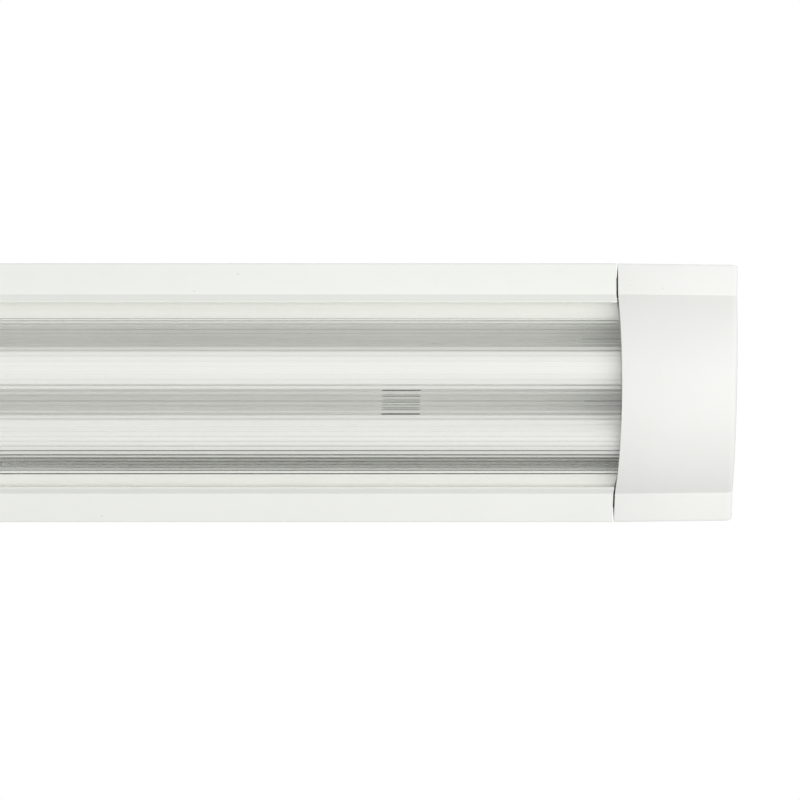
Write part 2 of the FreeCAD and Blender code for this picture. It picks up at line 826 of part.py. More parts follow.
def make_wires():
    """The four lamp wires and the earth wire, from inside the clamps to the left-hand holders."""
    holder_wire_x = -(holder_x + holder_wire_inset)
    ways, gap = way_places(), wire_pair_half_gap
    start = block_side
    runs = {
        "live_wire_a": (ways["live"] - gap, inner_wire_sides["a"], holder_entry("a", 1)),
        "live_wire_b": (ways["live"] + gap, inner_wire_sides["b"], holder_entry("b", -1)),
        "neutral_wire_a": (ways["neutral"] - gap, outer_wire_sides["a"], holder_entry("a", -1)),
        "neutral_wire_b": (ways["neutral"] + gap, outer_wire_sides["b"], holder_entry("b", 1)),
    }
    wires = {}
    for name, (x, lane, entry) in runs.items():
        wires[name] = wire_solid([(x, start), (x, lane), (holder_wire_x, lane), (holder_wire_x, entry)], name)
    barrel_start = earth_side - earth_tag_radius - earth_barrel_length
    wires["earth_wire"] = wire_solid([(block_x, start), (block_x, barrel_start)], "earth_wire")
    return wires


def make_clips():
    """The clips on the tray's floor that hold the wires at the left end."""
    x = -(tray_half_length - clip_inset)
    clips = []
    for lanes in (list(inner_wire_sides.values()), [outer_wire_sides["b"]]):
        width = lanes[-1] - lanes[0] + 2 * (wire_radius + clip_margin)
        clip = box(x, sum(lanes) / len(lanes), sheet, clip_length, width,
                   wire_depth + wire_radius + clip_margin - sheet)
        holes = [bar(x - clip_length, lane, wire_depth, wire_radius + wire_hole_play, 2 * clip_length)
                 for lane in lanes]
        clips.append(clip.cut(holes))
    return clips


nodes = {
    "base_tray": make_base_tray(),
    "light_cover": make_light_cover(),
    "bracket_rivets": make_rivets(),
    "cable_grommet": make_grommet(),
    "terminal_block": make_terminal_block(),
    "terminal_clamps": make_clamps(),
    "terminal_screws": make_clamp_screws(),
    "terminal_block_screws": make_block_screws(),
    "earth_screw": make_earth_screw(),
    "earth_tag": make_earth_tag(),
    "wire_clips": make_clips(),
}
nodes.update(make_wires())
end_cap, bracket = make_end_cap(), make_bracket()
for end in ends:
    nodes[f"end_cap_{end}"] = at_end(end_cap, end)
    nodes[f"holder_bracket_{end}"] = at_end(bracket, end)
for tube, y in tube_sides.items():
    nodes[f"tube_{tube}_glass"] = make_tube_glass(y)
    nodes[f"tube_{tube}_led_board"] = make_led_board(y)
    nodes[f"tube_{tube}_leds"] = make_leds(y)
    nodes[f"tube_{tube}_driver"] = make_driver(y)
    nodes[f"tube_{tube}_pins"] = make_pins(y)
    for end in ends:
        nodes[f"tube_{tube}_end_cap_{end}"] = at_end(make_ferrule(y), end)
        nodes[f"lamp_holder_{tube}_{end}"] = at_end(make_lamp_holder(y), end)
        nodes[f"holder_rotor_{tube}_{end}"] = at_end(make_rotor(y), end)
        contacts = contact_shapes(y, 0)
        nodes[f"holder_contacts_{tube}_{end}"] = [at_end(contact, end) for contact in contacts]

os.makedirs("parts", exist_ok=True)
for name, shape in nodes.items():
    solids = shape if isinstance(shape, list) else [shape]
    for solid in solids:
        if not solid.isValid() or len(solid.Solids) != 1:
            print("check", name, solid.isValid(), len(solid.Solids))
    whole = solids[0] if len(solids) == 1 else Part.makeCompound(solids)
    whole.exportStep(f"parts/{name}.step")
print(len(nodes), "nodes")
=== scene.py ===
import json
import math

import bmesh
import bpy
from bpy.props import FloatProperty, FloatVectorProperty, IntProperty, PointerProperty
from mathutils import Matrix, Vector

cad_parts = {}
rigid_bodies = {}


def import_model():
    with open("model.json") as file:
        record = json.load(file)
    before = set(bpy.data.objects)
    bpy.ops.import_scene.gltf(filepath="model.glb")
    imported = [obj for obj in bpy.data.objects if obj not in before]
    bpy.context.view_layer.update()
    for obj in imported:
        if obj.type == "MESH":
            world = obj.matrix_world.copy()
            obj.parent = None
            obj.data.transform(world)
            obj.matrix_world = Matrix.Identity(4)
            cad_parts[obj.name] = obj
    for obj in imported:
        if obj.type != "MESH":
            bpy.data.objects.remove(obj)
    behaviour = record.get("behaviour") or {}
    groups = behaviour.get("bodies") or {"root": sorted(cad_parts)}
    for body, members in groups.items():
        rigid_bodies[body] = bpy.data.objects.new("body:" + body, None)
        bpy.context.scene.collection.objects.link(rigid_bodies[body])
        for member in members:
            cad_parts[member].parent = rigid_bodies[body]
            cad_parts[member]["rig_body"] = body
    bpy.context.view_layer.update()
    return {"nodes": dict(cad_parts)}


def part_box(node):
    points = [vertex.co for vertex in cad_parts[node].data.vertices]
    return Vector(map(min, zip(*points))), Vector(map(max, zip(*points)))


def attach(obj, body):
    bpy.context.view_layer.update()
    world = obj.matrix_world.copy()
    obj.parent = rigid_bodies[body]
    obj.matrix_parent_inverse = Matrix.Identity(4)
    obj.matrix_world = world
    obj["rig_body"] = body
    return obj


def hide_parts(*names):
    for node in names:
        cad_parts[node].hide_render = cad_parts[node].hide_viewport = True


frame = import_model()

bl_info = {
    "name": "Tube light batten",
    "version": (1, 0, 0),
    "blender": (4, 5, 0),
    "location": "3D View > Sidebar > Batten",
    "description": "Dresses a ceiling batten for two tubes with its finishes and its modelled pieces",
    "category": "Object",
}

# Lengths are in metres. Points within NEAR count as being at one place, and points within TOUCHING are merged
MM = 0.001
NEAR = 0.01 * MM
TOUCHING = 0.001 * MM

# The least part of a direction that lies along an axis, and the least turn of an edge that gets a round
ALONG = 0.999
SHARP = math.radians(60)

WHITE = (1.0, 1.0, 1.0, 1.0)

# The record's material slot of each CAD node
SLOT_OF = {name: node.material_slots[0].material.name.split(".")[0]
           for name, node in frame["nodes"].items()}


def number(name, description, default, **more):
    """A plain number that a user may change."""
    return FloatProperty(name=name, description=description, default=default, precision=4, **more)


def size(name, description, default):
    """A length that a user may change, in metres."""
    return number(name, description, default, unit="LENGTH", subtype="DISTANCE")


def angle(name, description, degrees):
    """An angle that a user may change."""
    return number(name, description, math.radians(degrees), subtype="ANGLE")


def count(name, description, default):
    """A whole number that a user may change."""
    return IntProperty(name=name, description=description, default=default, min=1)


def tint(name, description, default):
    """A colour that a user may change."""
    return FloatVectorProperty(name=name, description=description, default=default, subtype="COLOR",
                               size=3, min=0.0, max=1.0)


class BATTEN_PG_view(bpy.types.PropertyGroup):
    """Where the picture is taken from."""

    aim_x: size("Aim along", "Place along the batten at the middle of the picture", 0.4301)
    aim_y: size("Aim across", "Place across the batten at the middle of the picture", 0.0035)
    aim_depth: size("Aim depth", "Depth of that place below the back face", 0.017)
    distance: size("Distance", "From the camera to that place", 1.0)
    pitch: angle("Pitch", "Angle between the view and the batten's upright", 7.3)
    lens: number("Lens", "Focal length in millimetres on a 36 mm sensor", 77.6)


class BATTEN_PG_studio(bpy.types.PropertyGroup):
    """The floor and the light."""

    floor_drop: size("Floor drop", "From the batten's back face down to the floor", 8.0)
    floor_width: size("Floor width", "Side of the square floor", 21.0)
    floor_colour: tint("Floor colour", "The pale floor", (0.86, 0.86, 0.85))
    sky: number("Sky", "Strength of the light from above and around", 0.62)
    sky_below: number("Sky below", "Strength of the light from under the horizon", 0.45)
    sky_slope: number("Sky slope", "How much brighter the side towards -Y is", 0.12)
    horizon: number("Horizon", "Rise and fall of a direction between which the sky's light changes", 0.15)
    backdrop: number("Backdrop", "Brightness of what is seen behind the batten, also through its cover", 1.0)
    overhead: number("Overhead", "Rise of a direction past which the cover shows the ceiling", 0.85)
    ceiling: number("Ceiling", "Brightness of the ceiling that shows through the cover and the slots", 0.1)
    softbox_power: number("Softbox power", "Power of the large soft lamp below, in watts", 147.0)
    softbox_width: size("Softbox width", "Length of the soft lamp along the batten", 9.0)
    softbox_depth: size("Softbox depth", "Length of the soft lamp across the batten", 4.2)
    softbox_x: size("Softbox along", "Place of the soft lamp along the batten", 4.0)
    softbox_y: size("Softbox across", "Place of the soft lamp across the batten", -0.2)
    softbox_drop: size("Softbox drop", "From the batten's back face down to the soft lamp", 3.2)


class BATTEN_PG_cover(bpy.types.PropertyGroup):
    """The flutes inside the clear cover."""

    wall: size("Wall", "Thickness of the cover", 1.2 * MM)
    overbend: number("Overbend", "Bend of the sheet before its feet are cut, as a share of its arch", 1.02)
    flute_slope: angle("Flute slope", "Steepest slope of the flutes, where two arcs meet", 24.6)
    flute_steps: count("Flute steps", "Facets across one flute, an even number", 12)
    pitch: size("Pitch", "From flute to flute over the middle and at the edges", 3.0 * MM)
    fine_pitch: size("Fine pitch", "From flute to flute in the two fine bands", 2.3 * MM)
    fine_start: size("Fine start", "Half width at which the fine flutes start", 32.0 * MM)
    fine_end: size("Fine end", "Half width at which the fine flutes end", 44.0 * MM)
    flutes_end: size("Flutes end", "Half width past which the cover is plain", 47.5 * MM)
    edge_round: size("Edge round", "Round on the edges of the cover", 0.02 * MM)


class BATTEN_PG_cap(bpy.types.PropertyGroup):
    """The moulded end caps, from the back face down to the arch."""

    wall: size("Wall", "Thickness of the moulding", 1.5 * MM)
    floor_half_width: size("Floor half width", "Half width at the back face", 45.0 * MM)
    rim_half_width: size("Rim half width", "Half width out to the rims, before they are rounded", 77.4 * MM)
    rim_depth: size("Rim depth", "Depth of the rims", 17.0 * MM)
    crease_half_width: size("Crease half width", "Half width of the arch, where it meets a flange", 58.0 * MM)
    crease_depth: size("Crease depth", "Depth of that crease", 20.5 * MM)
    rim_reach: size("Rim reach", "From a sharp rim to where its round starts", 3.4 * MM)
    rim_steps: count("Rim steps", "Facets of a rim's round", 6)
    crease_round: size("Crease round", "Round along the creases", 0.5 * MM)
    crease_steps: count("Crease steps", "Facets of a crease's round", 3)
    arch_steps: count("Arch steps", "Facets of the whole circle that the arch is a part of", 240)
    lip_round: size("Lip round", "Round on the edges at the seam and the back", 0.3 * MM)
    end_round: size("End round", "Length along the batten of the round at the far end", 4.2 * MM)
    end_fall: size("End fall", "How far the arch's top falls in that round", 4.2 * MM)
    end_fall_across: size("End fall across", "How far each rim comes in in that round", 1.8 * MM)
    end_steps: count("End steps", "Facets of that round", 8)
    end_lean: angle("End lean", "How far the far end leans in", 7.5)
    taper: size("Taper", "How far each rim has come in at the far end", 0.9 * MM)
    seam_room: size("Seam room", "How much wider the seam's gap is than the CAD's", 0.25 * MM)
    tongue_reach: size("Tongue reach", "From the seam to a tongue's tip", 14.0 * MM)
    tongue_root: size("Tongue root", "From the seam to a tongue's root", 16.0 * MM)
    tongue_inner: size("Tongue inner", "Half width of a tongue's inner side", 60.134 * MM)
    tongue_outer: size("Tongue outer", "Half width of a tongue's outer side", 67.312 * MM)
    tongue_top: size("Tongue top", "Depth of a tongue's inner side where it starts", 8.957 * MM)
    tongue_bottom: size("Tongue bottom", "Depth of a tongue's inner side where it ends", 17.473 * MM)
    tongue_fall: size("Tongue fall", "How much deeper the outer side starts", 3.766 * MM)
    tongue_rise: size("Tongue rise", "How much higher the outer side ends", 1.295 * MM)
    tongue_tip_share: number("Tongue tip share", "Size of a tongue's tip, as a share of its root", 0.8)


class BATTEN_PG_ease(bpy.types.PropertyGroup):
    """Rounds on the edges of the parts inside."""

    least_turn: angle("Least turn", "Edges that turn by less stay as they are", 40.0)
    flat_turn: angle("Flat turn", "Triangles that turn by less are joined into one face", 0.5)
    holder: size("Lamp holders", "Round on the edges of the lamp holders", 0.35 * MM)
    rotor: size("Rotors", "Round on the edges of the rotors", 0.2 * MM)
    bracket: size("Brackets", "Round on the edges of the holder brackets", 0.15 * MM)
    block: size("Terminal block", "Round on the edges of the terminal block", 0.3 * MM)
    ferrule: size("Tube end caps", "Round on the edges of the tubes' end caps", 0.3 * MM)


class BATTEN_PG_finish(bpy.types.PropertyGroup):
    """Colours of the finishes."""

    paint: tint("Tray paint", "White powder coat of the tray", (0.915, 0.928, 0.885))
    cap: tint("End caps", "White plastic of the end caps", (0.94, 0.945, 0.918))
    # Painted shade: the caps' inner faces and tongues are coloured near black to stand for the shadow in the
    # white caps' hollows
    cap_inside_painted_shade: tint("End caps inside", "Dull inner faces of the end caps", (0.12, 0.122, 0.118))
    opal: tint("Opal tubes", "White of the tubes", (0.932, 0.93, 0.912))
    cover: tint("Cover", "Tint of the clear cover", (0.988, 0.989, 0.984))
    cover_passing: tint("Cover, passing", "Light that the cover lets in", (0.982, 0.983, 0.976))
    aluminium: tint("Aluminium", "End caps of the tubes", (0.80, 0.81, 0.82))
    rivet: tint("Rivets", "Aluminium of the rivets", (0.77, 0.78, 0.79))
    galvanised: tint("Galvanised sheet", "Holder brackets", (0.55, 0.56, 0.57))
    spangle: tint("Spangle", "Lightest crystals of the galvanised sheet", (0.66, 0.68, 0.69))
    zinc: tint("Zinc", "Screws", (0.66, 0.68, 0.70))
    brass: tint("Brass", "Pins and clamps", (0.80, 0.66, 0.38))
    bronze: tint("Bronze", "Spring contacts of the lamp holders", (0.72, 0.50, 0.30))
    board: tint("LED boards", "White mask of the boards", (0.88, 0.88, 0.86))
    phosphor: tint("LEDs", "Yellow phosphor of the LEDs", (0.90, 0.74, 0.22))
    driver: tint("Drivers", "Green boards of the drivers", (0.06, 0.26, 0.13))
    holder: tint("Lamp holders", "White plastic of the lamp holders", (0.87, 0.87, 0.85))
    rotor: tint("Rotors", "White plastic of the rotors", (0.82, 0.82, 0.795))
    block: tint("Terminal block", "Natural nylon of the terminal block", (0.84, 0.82, 0.75))
    clip: tint("Wire clips", "White nylon of the clips", (0.86, 0.86, 0.83))
    rubber: tint("Rubber", "Grommet", (0.035, 0.035, 0.036))
    live: tint("Live wires", "Brown insulation", (0.20, 0.085, 0.035))
    neutral: tint("Neutral wires", "Blue insulation", (0.035, 0.12, 0.42))
    earth: tint("Earth wire", "Yellow insulation", (0.80, 0.66, 0.06))
    earth_stripe: tint("Earth stripe", "Green stripe along the earth wire", (0.03, 0.28, 0.06))


def add(tree, kind, inputs=None, **settings):
    """A node with its settings, and with values or other nodes' sockets on its inputs."""
    node = tree.nodes.new(kind)
    for name, value in settings.items():
        setattr(node, name, value)
    for name, value in (inputs or {}).items():
        if isinstance(value, bpy.types.NodeSocket):
            tree.links.new(value, node.inputs[name])
        else:
            node.inputs[name].default_value = value
    return node


def mixed(tree, factor, first, second):
    """A colour between two colours."""
    return add(tree, "ShaderNodeMix", {0: factor, 6: first, 7: second}, data_type="RGBA").outputs[2]


def ranged(tree, value, low, high, to_low=0.0, to_high=1.0):
    """A value stretched from one range to another and kept inside it."""
    inputs = {0: value, 1: low, 2: high, 3: to_low, 4: to_high}
    return add(tree, "ShaderNodeMapRange", inputs, clamp=True).outputs[0]


def product(tree, first, second):
    """Two values multiplied."""
    return add(tree, "ShaderNodeMath", {0: first, 1: second}, operation="MULTIPLY").outputs[0]


def opaque(colour):
    """A colour with full alpha, as a socket takes it."""
    return (*colour, 1.0)


def new_group(name, inputs, outputs):
    """An empty shader node group with its sockets, as (tree, input node, output node)."""
    tree = bpy.data.node_groups.new(name, "ShaderNodeTree")
    for socket, kind, default in inputs:
        made = tree.interface.new_socket(socket, in_out="INPUT", socket_type=kind)
        made.default_value = default
    for socket, kind in outputs:
        tree.interface.new_socket(socket, in_out="OUTPUT", socket_type=kind)
    return tree, tree.nodes.new("NodeGroupInput"), tree.nodes.new("NodeGroupOutput")


def noise(tree, place, scale, detail, roughness=0.5):
    """A noise value on a place."""
    inputs = {"Vector": place, "Scale": scale, "Detail": detail, "Roughness": roughness}
    return add(tree, "ShaderNodeTexNoise", inputs).outputs["Fac"]


def make_grain_group():
    """Fine surface grain: a coarse and a fine ripple, as the height for a bump."""
    tree, given, result = new_group(
        "surface_grain",
        [("Coarse", "NodeSocketFloat", 700.0), ("Fine", "NodeSocketFloat", 3500.0),
         ("Fine share", "NodeSocketFloat", 0.3)],
        [("Height", "NodeSocketFloat")])
    place = add(tree, "ShaderNodeTexCoord").outputs["Object"]
    coarse = noise(tree, place, given.outputs["Coarse"], detail=1.0)
    fine = noise(tree, place, given.outputs["Fine"], detail=2.0, roughness=0.6)
    height = add(tree, "ShaderNodeMix", {0: given.outputs["Fine share"], 2: coarse, 3: fine})
    tree.links.new(height.outputs[0], result.inputs["Height"])
    return tree


def make_drift_group():
    """Slow drift of a colour over a surface, as real batches of paint and plastic have."""
    tree, given, result = new_group(
        "tone_drift",
        [("Color", "NodeSocketColor", (0.8, 0.8, 0.8, 1.0)), ("Amount", "NodeSocketFloat", 0.02),
         ("Scale", "NodeSocketFloat", 9.0)],
        [("Color", "NodeSocketColor"), ("Mask", "NodeSocketFloat")])
    place = add(tree, "ShaderNodeTexCoord").outputs["Object"]
    cloud = noise(tree, place, given.outputs["Scale"], detail=3.0, roughness=0.55)
    mask = ranged(tree, cloud, low=0.3, high=0.7)
    darker = add(tree, "ShaderNodeMath", {0: 1.0, 1: given.outputs["Amount"]}, operation="SUBTRACT")
    shade = add(tree, "ShaderNodeMix", {0: mask, 2: darker.outputs[0], 3: 1.0}).outputs[0]
    scaled = add(tree, "ShaderNodeVectorMath", {0: given.outputs["Color"], 3: shade}, operation="SCALE")
    tree.links.new(scaled.outputs[0], result.inputs["Color"])
    tree.links.new(mask, result.inputs["Mask"])
    return tree


def make_dust_group():
    """Faint dust in soft patches, with a few fine specks."""
    tree, given, result = new_group(
        "settled_dust",
        [("Color", "NodeSocketColor", (0.8, 0.8, 0.8, 1.0)),
         ("Dust", "NodeSocketColor", (0.5, 0.48, 0.44, 1.0)),
         ("Amount", "NodeSocketFloat", 0.05), ("Specks", "NodeSocketFloat", 0.3),
         ("Speck scale", "NodeSocketFloat", 160.0)],
        [("Color", "NodeSocketColor"), ("Mask", "NodeSocketFloat")])
    place = add(tree, "ShaderNodeTexCoord").outputs["Object"]
    cloud = noise(tree, place, scale=22.0, detail=4.0, roughness=0.6)
    veil = product(tree, ranged(tree, cloud, low=0.45, high=0.8), given.outputs["Amount"])
    cells = add(tree, "ShaderNodeTexVoronoi", {"Vector": place, "Scale": given.outputs["Speck scale"]})
    dots = ranged(tree, cells.outputs["Distance"], low=0.05, high=0.11, to_low=1.0, to_high=0.0)
    chance = add(tree, "ShaderNodeSeparateColor", {0: cells.outputs["Color"]}).outputs[0]
    rare = add(tree, "ShaderNodeMath", {0: chance, 1: 0.93}, operation="GREATER_THAN").outputs[0]
    specks = product(tree, product(tree, dots, rare), given.outputs["Specks"])
    mask = add(tree, "ShaderNodeMath", {0: veil, 1: specks}, operation="ADD", use_clamp=True).outputs[0]
    tree.links.new(mixed(tree, mask, given.outputs["Color"], given.outputs["Dust"]), result.inputs["Color"])
    tree.links.new(mask, result.inputs["Mask"])
    return tree


def make_drawn_group():
    """Fine drawing or turning lines along one direction, as height and mask."""
    tree, given, result = new_group(
        "drawn_lines",
        [("Stretch", "NodeSocketVector", (1.0, 1.0, 1.0)), ("Scale", "NodeSocketFloat", 900.0)],
        [("Height", "NodeSocketFloat"), ("Mask", "NodeSocketFloat")])
    place = add(tree, "ShaderNodeTexCoord").outputs["Object"]
    stretched = add(tree, "ShaderNodeVectorMath", {0: place, 1: given.outputs["Stretch"]},
                    operation="MULTIPLY")
    lines = noise(tree, stretched.outputs[0], given.outputs["Scale"], detail=2.0, roughness=0.6)
    tree.links.new(lines, result.inputs["Height"])
    tree.links.new(ranged(tree, lines, low=0.35, high=0.65), result.inputs["Mask"])
    return tree


# The shared effects by name, filled by make_groups
GROUPS = {}


def use_group(tree, name, inputs):
    """A shared effect, placed in a material with its own values."""
    return add(tree, "ShaderNodeGroup", inputs, node_tree=GROUPS[name])


def new_finish(name, **values):
    """A material with one Principled shader, as (material, tree, shader)."""
    material = bpy.data.materials.new(name)
    material.use_nodes = True
    tree = material.node_tree
    tree.nodes.clear()
    shader = tree.nodes.new("ShaderNodeBsdfPrincipled")
    result = tree.nodes.new("ShaderNodeOutputMaterial")
    tree.links.new(shader.outputs[0], result.inputs["Surface"])
    for socket, value in values.items():
        shader.inputs[socket.replace("_", " ")].default_value = value
    return material, tree, shader


def bump(tree, shader, height, distance, strength):
    """A fine relief on a shader, with its real height in metres."""
    relief = add(tree, "ShaderNodeBump", {"Height": height, "Distance": distance, "Strength": strength})
    tree.links.new(relief.outputs[0], shader.inputs["Normal"])


def roughness_from(tree, shader, mask, low, high):
    """Roughness that follows a mask."""
    tree.links.new(ranged(tree, mask, 0.0, 1.0, low, high), shader.inputs["Roughness"])


def powder_coat(name, colour, dusty):
    """White powder coat: orange peel, a slow drift of tone and a little dust."""
    material, tree, shader = new_finish(name, Specular_IOR_Level=0.35)
    drift = use_group(tree, "tone_drift", {"Color": opaque(colour), "Amount": 0.02, "Scale": 7.0})
    dust = use_group(tree, "settled_dust", {"Color": drift.outputs["Color"], "Amount": dusty, "Specks": 0.35})
    grain = use_group(tree, "surface_grain", {"Coarse": 650.0, "Fine": 2600.0, "Fine share": 0.25})
    tree.links.new(dust.outputs["Color"], shader.inputs["Base Color"])
    roughness_from(tree, shader, dust.outputs["Mask"], low=0.36, high=0.6)
    bump(tree, shader, grain.outputs["Height"], distance=0.06 * MM, strength=0.6)
    return material


def moulded(name, colour, roughness, grain_depth=0.02 * MM, coarse=1400.0, dusty=0.03, **values):
    """Moulded plastic: fine spark-eroded grain, with a slow drift of tone."""
    material, tree, shader = new_finish(name, **values)
    drift = use_group(tree, "tone_drift", {"Color": opaque(colour), "Amount": 0.018, "Scale": 14.0})
    dust = use_group(tree, "settled_dust", {"Color": drift.outputs["Color"], "Amount": dusty, "Specks": 0.2})
    grain = use_group(tree, "surface_grain", {"Coarse": coarse, "Fine": 4 * coarse, "Fine share": 0.5})
    tree.links.new(dust.outputs["Color"], shader.inputs["Base Color"])
    roughness_from(tree, shader, drift.outputs["Mask"], low=roughness - 0.04, high=roughness + 0.05)
    bump(tree, shader, grain.outputs["Height"], distance=grain_depth, strength=0.6)
    return material


def metal(name, colour, roughness, stretch, scale):
    """Bare metal with fine lines along one direction and a little tarnish."""
    material, tree, shader = new_finish(name, Metallic=1.0)
    dull = tuple(0.8 * channel for channel in colour)
    lines = use_group(tree, "drawn_lines", {"Stretch": stretch, "Scale": scale})
    drift = use_group(tree, "tone_drift", {"Color": opaque(colour), "Amount": 0.1, "Scale": 160.0})
    tarnish = product(tree, drift.outputs["Mask"], 0.35)
    tree.links.new(mixed(tree, tarnish, drift.outputs["Color"], opaque(dull)), shader.inputs["Base Color"])
    roughness_from(tree, shader, lines.outputs["Mask"], low=roughness - 0.07, high=roughness + 0.1)
    bump(tree, shader, lines.outputs["Height"], distance=0.015 * MM, strength=0.5)
    return material


def insulation(name, colour):
    """The smooth insulation of a wire."""
    return moulded(name, colour, 0.38, grain_depth=0.01 * MM, coarse=2500.0)


def tray_paint(finish):
    """The tray's white paint."""
    return powder_coat("tray_powder_coat", finish.paint, dusty=0.045)


def bracket_steel(finish):
    """Galvanised sheet: soft grey metal with a faint spangle."""
    material, tree, shader = new_finish("bracket_galvanised", Metallic=0.85)
    place = add(tree, "ShaderNodeTexCoord").outputs["Object"]
    cells = add(tree, "ShaderNodeTexVoronoi", {"Vector": place, "Scale": 240.0})
    spangle = add(tree, "ShaderNodeSeparateColor", {0: cells.outputs["Color"]}).outputs[0]
    drift = use_group(tree, "tone_drift", {"Color": opaque(finish.galvanised), "Amount": 0.08, "Scale": 60.0})
    light = mixed(tree, product(tree, spangle, 0.35), drift.outputs["Color"], opaque(finish.spangle))
    tree.links.new(light, shader.inputs["Base Color"])
    roughness_from(tree, shader, spangle, low=0.38, high=0.5)
    grain = use_group(tree, "surface_grain", {"Coarse": 900.0, "Fine": 3000.0, "Fine share": 0.3})
    bump(tree, shader, grain.outputs["Height"], distance=0.01 * MM, strength=0.5)
    return material


def cap_plastic(finish):
    """The end caps' white plastic."""
    return moulded("cap_moulding", finish.cap, 0.42, coarse=1300.0, Specular_IOR_Level=0.35)


def cap_inside_painted_shade(finish):
    """The end caps' inner faces, coloured near black as painted shade: the dark stands for the shadow in the
    hollow of the white cap.
    """
    return moulded("cap_moulding_painted_shade", finish.cap_inside_painted_shade, 0.7, grain_depth=0.04 * MM, coarse=900.0,
                   dusty=0.1)


def opal_tube(finish):
    """Opal tube: a satin diffuser with a thin coat, a slow drift of tone, a little dust and fine grain."""
    material, tree, shader = new_finish("opal_tube_wall", Coat_Weight=0.15, Coat_Roughness=0.12)
    drift = use_group(tree, "tone_drift", {"Color": opaque(finish.opal), "Amount": 0.012, "Scale": 6.0})
    dust = use_group(tree, "settled_dust", {"Color": drift.outputs["Color"], "Amount": 0.03, "Specks": 0.12})
    grain = use_group(tree, "surface_grain", {"Coarse": 120.0, "Fine": 4200.0, "Fine share": 0.6})
    tree.links.new(dust.outputs["Color"], shader.inputs["Base Color"])
    roughness_from(tree, shader, dust.outputs["Mask"], low=0.26, high=0.5)
    bump(tree, shader, grain.outputs["Height"], distance=0.008 * MM, strength=0.5)
    return material


def clear_cover(finish):
    """Clear plastic that lets shadow and diffuse rays through, so that the inside is lit."""
    material, tree, glass = new_finish("clear_ribbed_cover", Transmission_Weight=1.0, IOR=1.49,
                                       Specular_IOR_Level=0.5, Roughness=0.01)
    glass.inputs["Base Color"].default_value = opaque(finish.cover)
    passing = add(tree, "ShaderNodeBsdfTransparent", {"Color": opaque(finish.cover_passing)})
    path = add(tree, "ShaderNodeLightPath")
    indirect = add(tree, "ShaderNodeMath",
                   {0: path.outputs["Is Shadow Ray"], 1: path.outputs["Is Diffuse Ray"]}, operation="MAXIMUM")
    choice = add(tree, "ShaderNodeMixShader",
                 {0: indirect.outputs[0], 1: glass.outputs[0], 2: passing.outputs[0]})
    result = next(node for node in tree.nodes if node.type == "OUTPUT_MATERIAL")
    tree.links.new(choice.outputs[0], result.inputs["Surface"])
    return material


def ferrule_aluminium(finish):
    """The tubes' end caps, turned round their length."""
    return metal("ferrule_aluminium", finish.aluminium, 0.32, stretch=(0.06, 1.0, 1.0), scale=900.0)


def pin_brass(finish):
    """The tubes' pins."""
    return metal("pin_brass", finish.brass, 0.22, stretch=(1.0, 0.1, 0.1), scale=2000.0)


def clamp_brass(finish):
    """The clamps in the terminal block."""
    return metal("clamp_brass", finish.brass, 0.35, stretch=(1.0, 0.2, 0.2), scale=1500.0)


def contact_bronze(finish):
    """The spring contacts in the lamp holders."""
    return metal("contact_bronze", finish.bronze, 0.3, stretch=(0.2, 1.0, 1.0), scale=1800.0)


def rivet_aluminium(finish):
    """The brackets' rivets."""
    return metal("rivet_aluminium", finish.rivet, 0.38, stretch=(1.0, 1.0, 0.2), scale=1600.0)


def screw_zinc(finish):
    """The plated screws."""
    return metal("screw_zinc", finish.zinc, 0.3, stretch=(1.0, 1.0, 0.3), scale=1800.0)


def board_white(finish):
    """The white mask of the LED boards."""
    return moulded("led_board_mask", finish.board, 0.3, grain_depth=0.01 * MM)


def led_yellow(finish):
    """The LEDs' phosphor."""
    return moulded("led_phosphor", finish.phosphor, 0.4, grain_depth=0.01 * MM)


def driver_green(finish):
    """The drivers' circuit boards."""
    return moulded("driver_board", finish.driver, 0.35)


def holder_plastic(finish):
    """The lamp holders' housings."""
    return moulded("holder_moulding", finish.holder, 0.3, grain_depth=0.015 * MM, coarse=1700.0)


def rotor_plastic(finish):
    """The lamp holders' rotors."""
    return moulded("rotor_moulding", finish.rotor, 0.33, grain_depth=0.015 * MM, coarse=1700.0)


def block_plastic(finish):
    """The terminal block's housing."""
    return moulded("terminal_moulding", finish.block, 0.38, coarse=1500.0, Subsurface_Weight=0.1)


def clip_nylon(finish):
    """The wire clips."""
    return moulded("clip_moulding", finish.clip, 0.4, coarse=1500.0)


def grommet_rubber(finish):
    """The black ring at the cable entry."""
    return moulded("grommet_rubber", finish.rubber, 0.62, grain_depth=0.04 * MM, coarse=1800.0, dusty=0.12)


def live_brown(finish):
    """The live wires."""
    return insulation("live_insulation", finish.live)


def neutral_blue(finish):
    """The neutral wires."""
    return insulation("neutral_insulation", finish.neutral)


def earth_green_yellow(finish):
    """Yellow insulation with a green stripe along the wire, which runs across the batten."""
    material = insulation("earth_insulation", finish.earth)
    tree = material.node_tree
    shader = next(node for node in tree.nodes if node.type == "BSDF_PRINCIPLED")
    low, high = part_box("earth_wire")
    middle = (low + high) / 2
    place = add(tree, "ShaderNodeTexCoord").outputs["Object"]
    across = add(tree, "ShaderNodeSeparateXYZ", {0: place}).outputs[0]
    stripe = add(tree, "ShaderNodeMath", {0: across, 1: middle.x}, operation="GREATER_THAN").outputs[0]
    plain = shader.inputs["Base Color"].links[0].from_socket
    tree.links.new(mixed(tree, stripe, plain, opaque(finish.earth_stripe)), shader.inputs["Base Color"])
    return material


# Each finish has the name of its material slot in the record
FINISHES = (tray_paint, cap_plastic, clear_cover, opal_tube, ferrule_aluminium, pin_brass, board_white,
            led_yellow, driver_green, holder_plastic, rotor_plastic, contact_bronze, bracket_steel,
            rivet_aluminium, screw_zinc, clamp_brass, block_plastic, clip_nylon, grommet_rubber,
            live_brown, neutral_blue, earth_green_yellow)


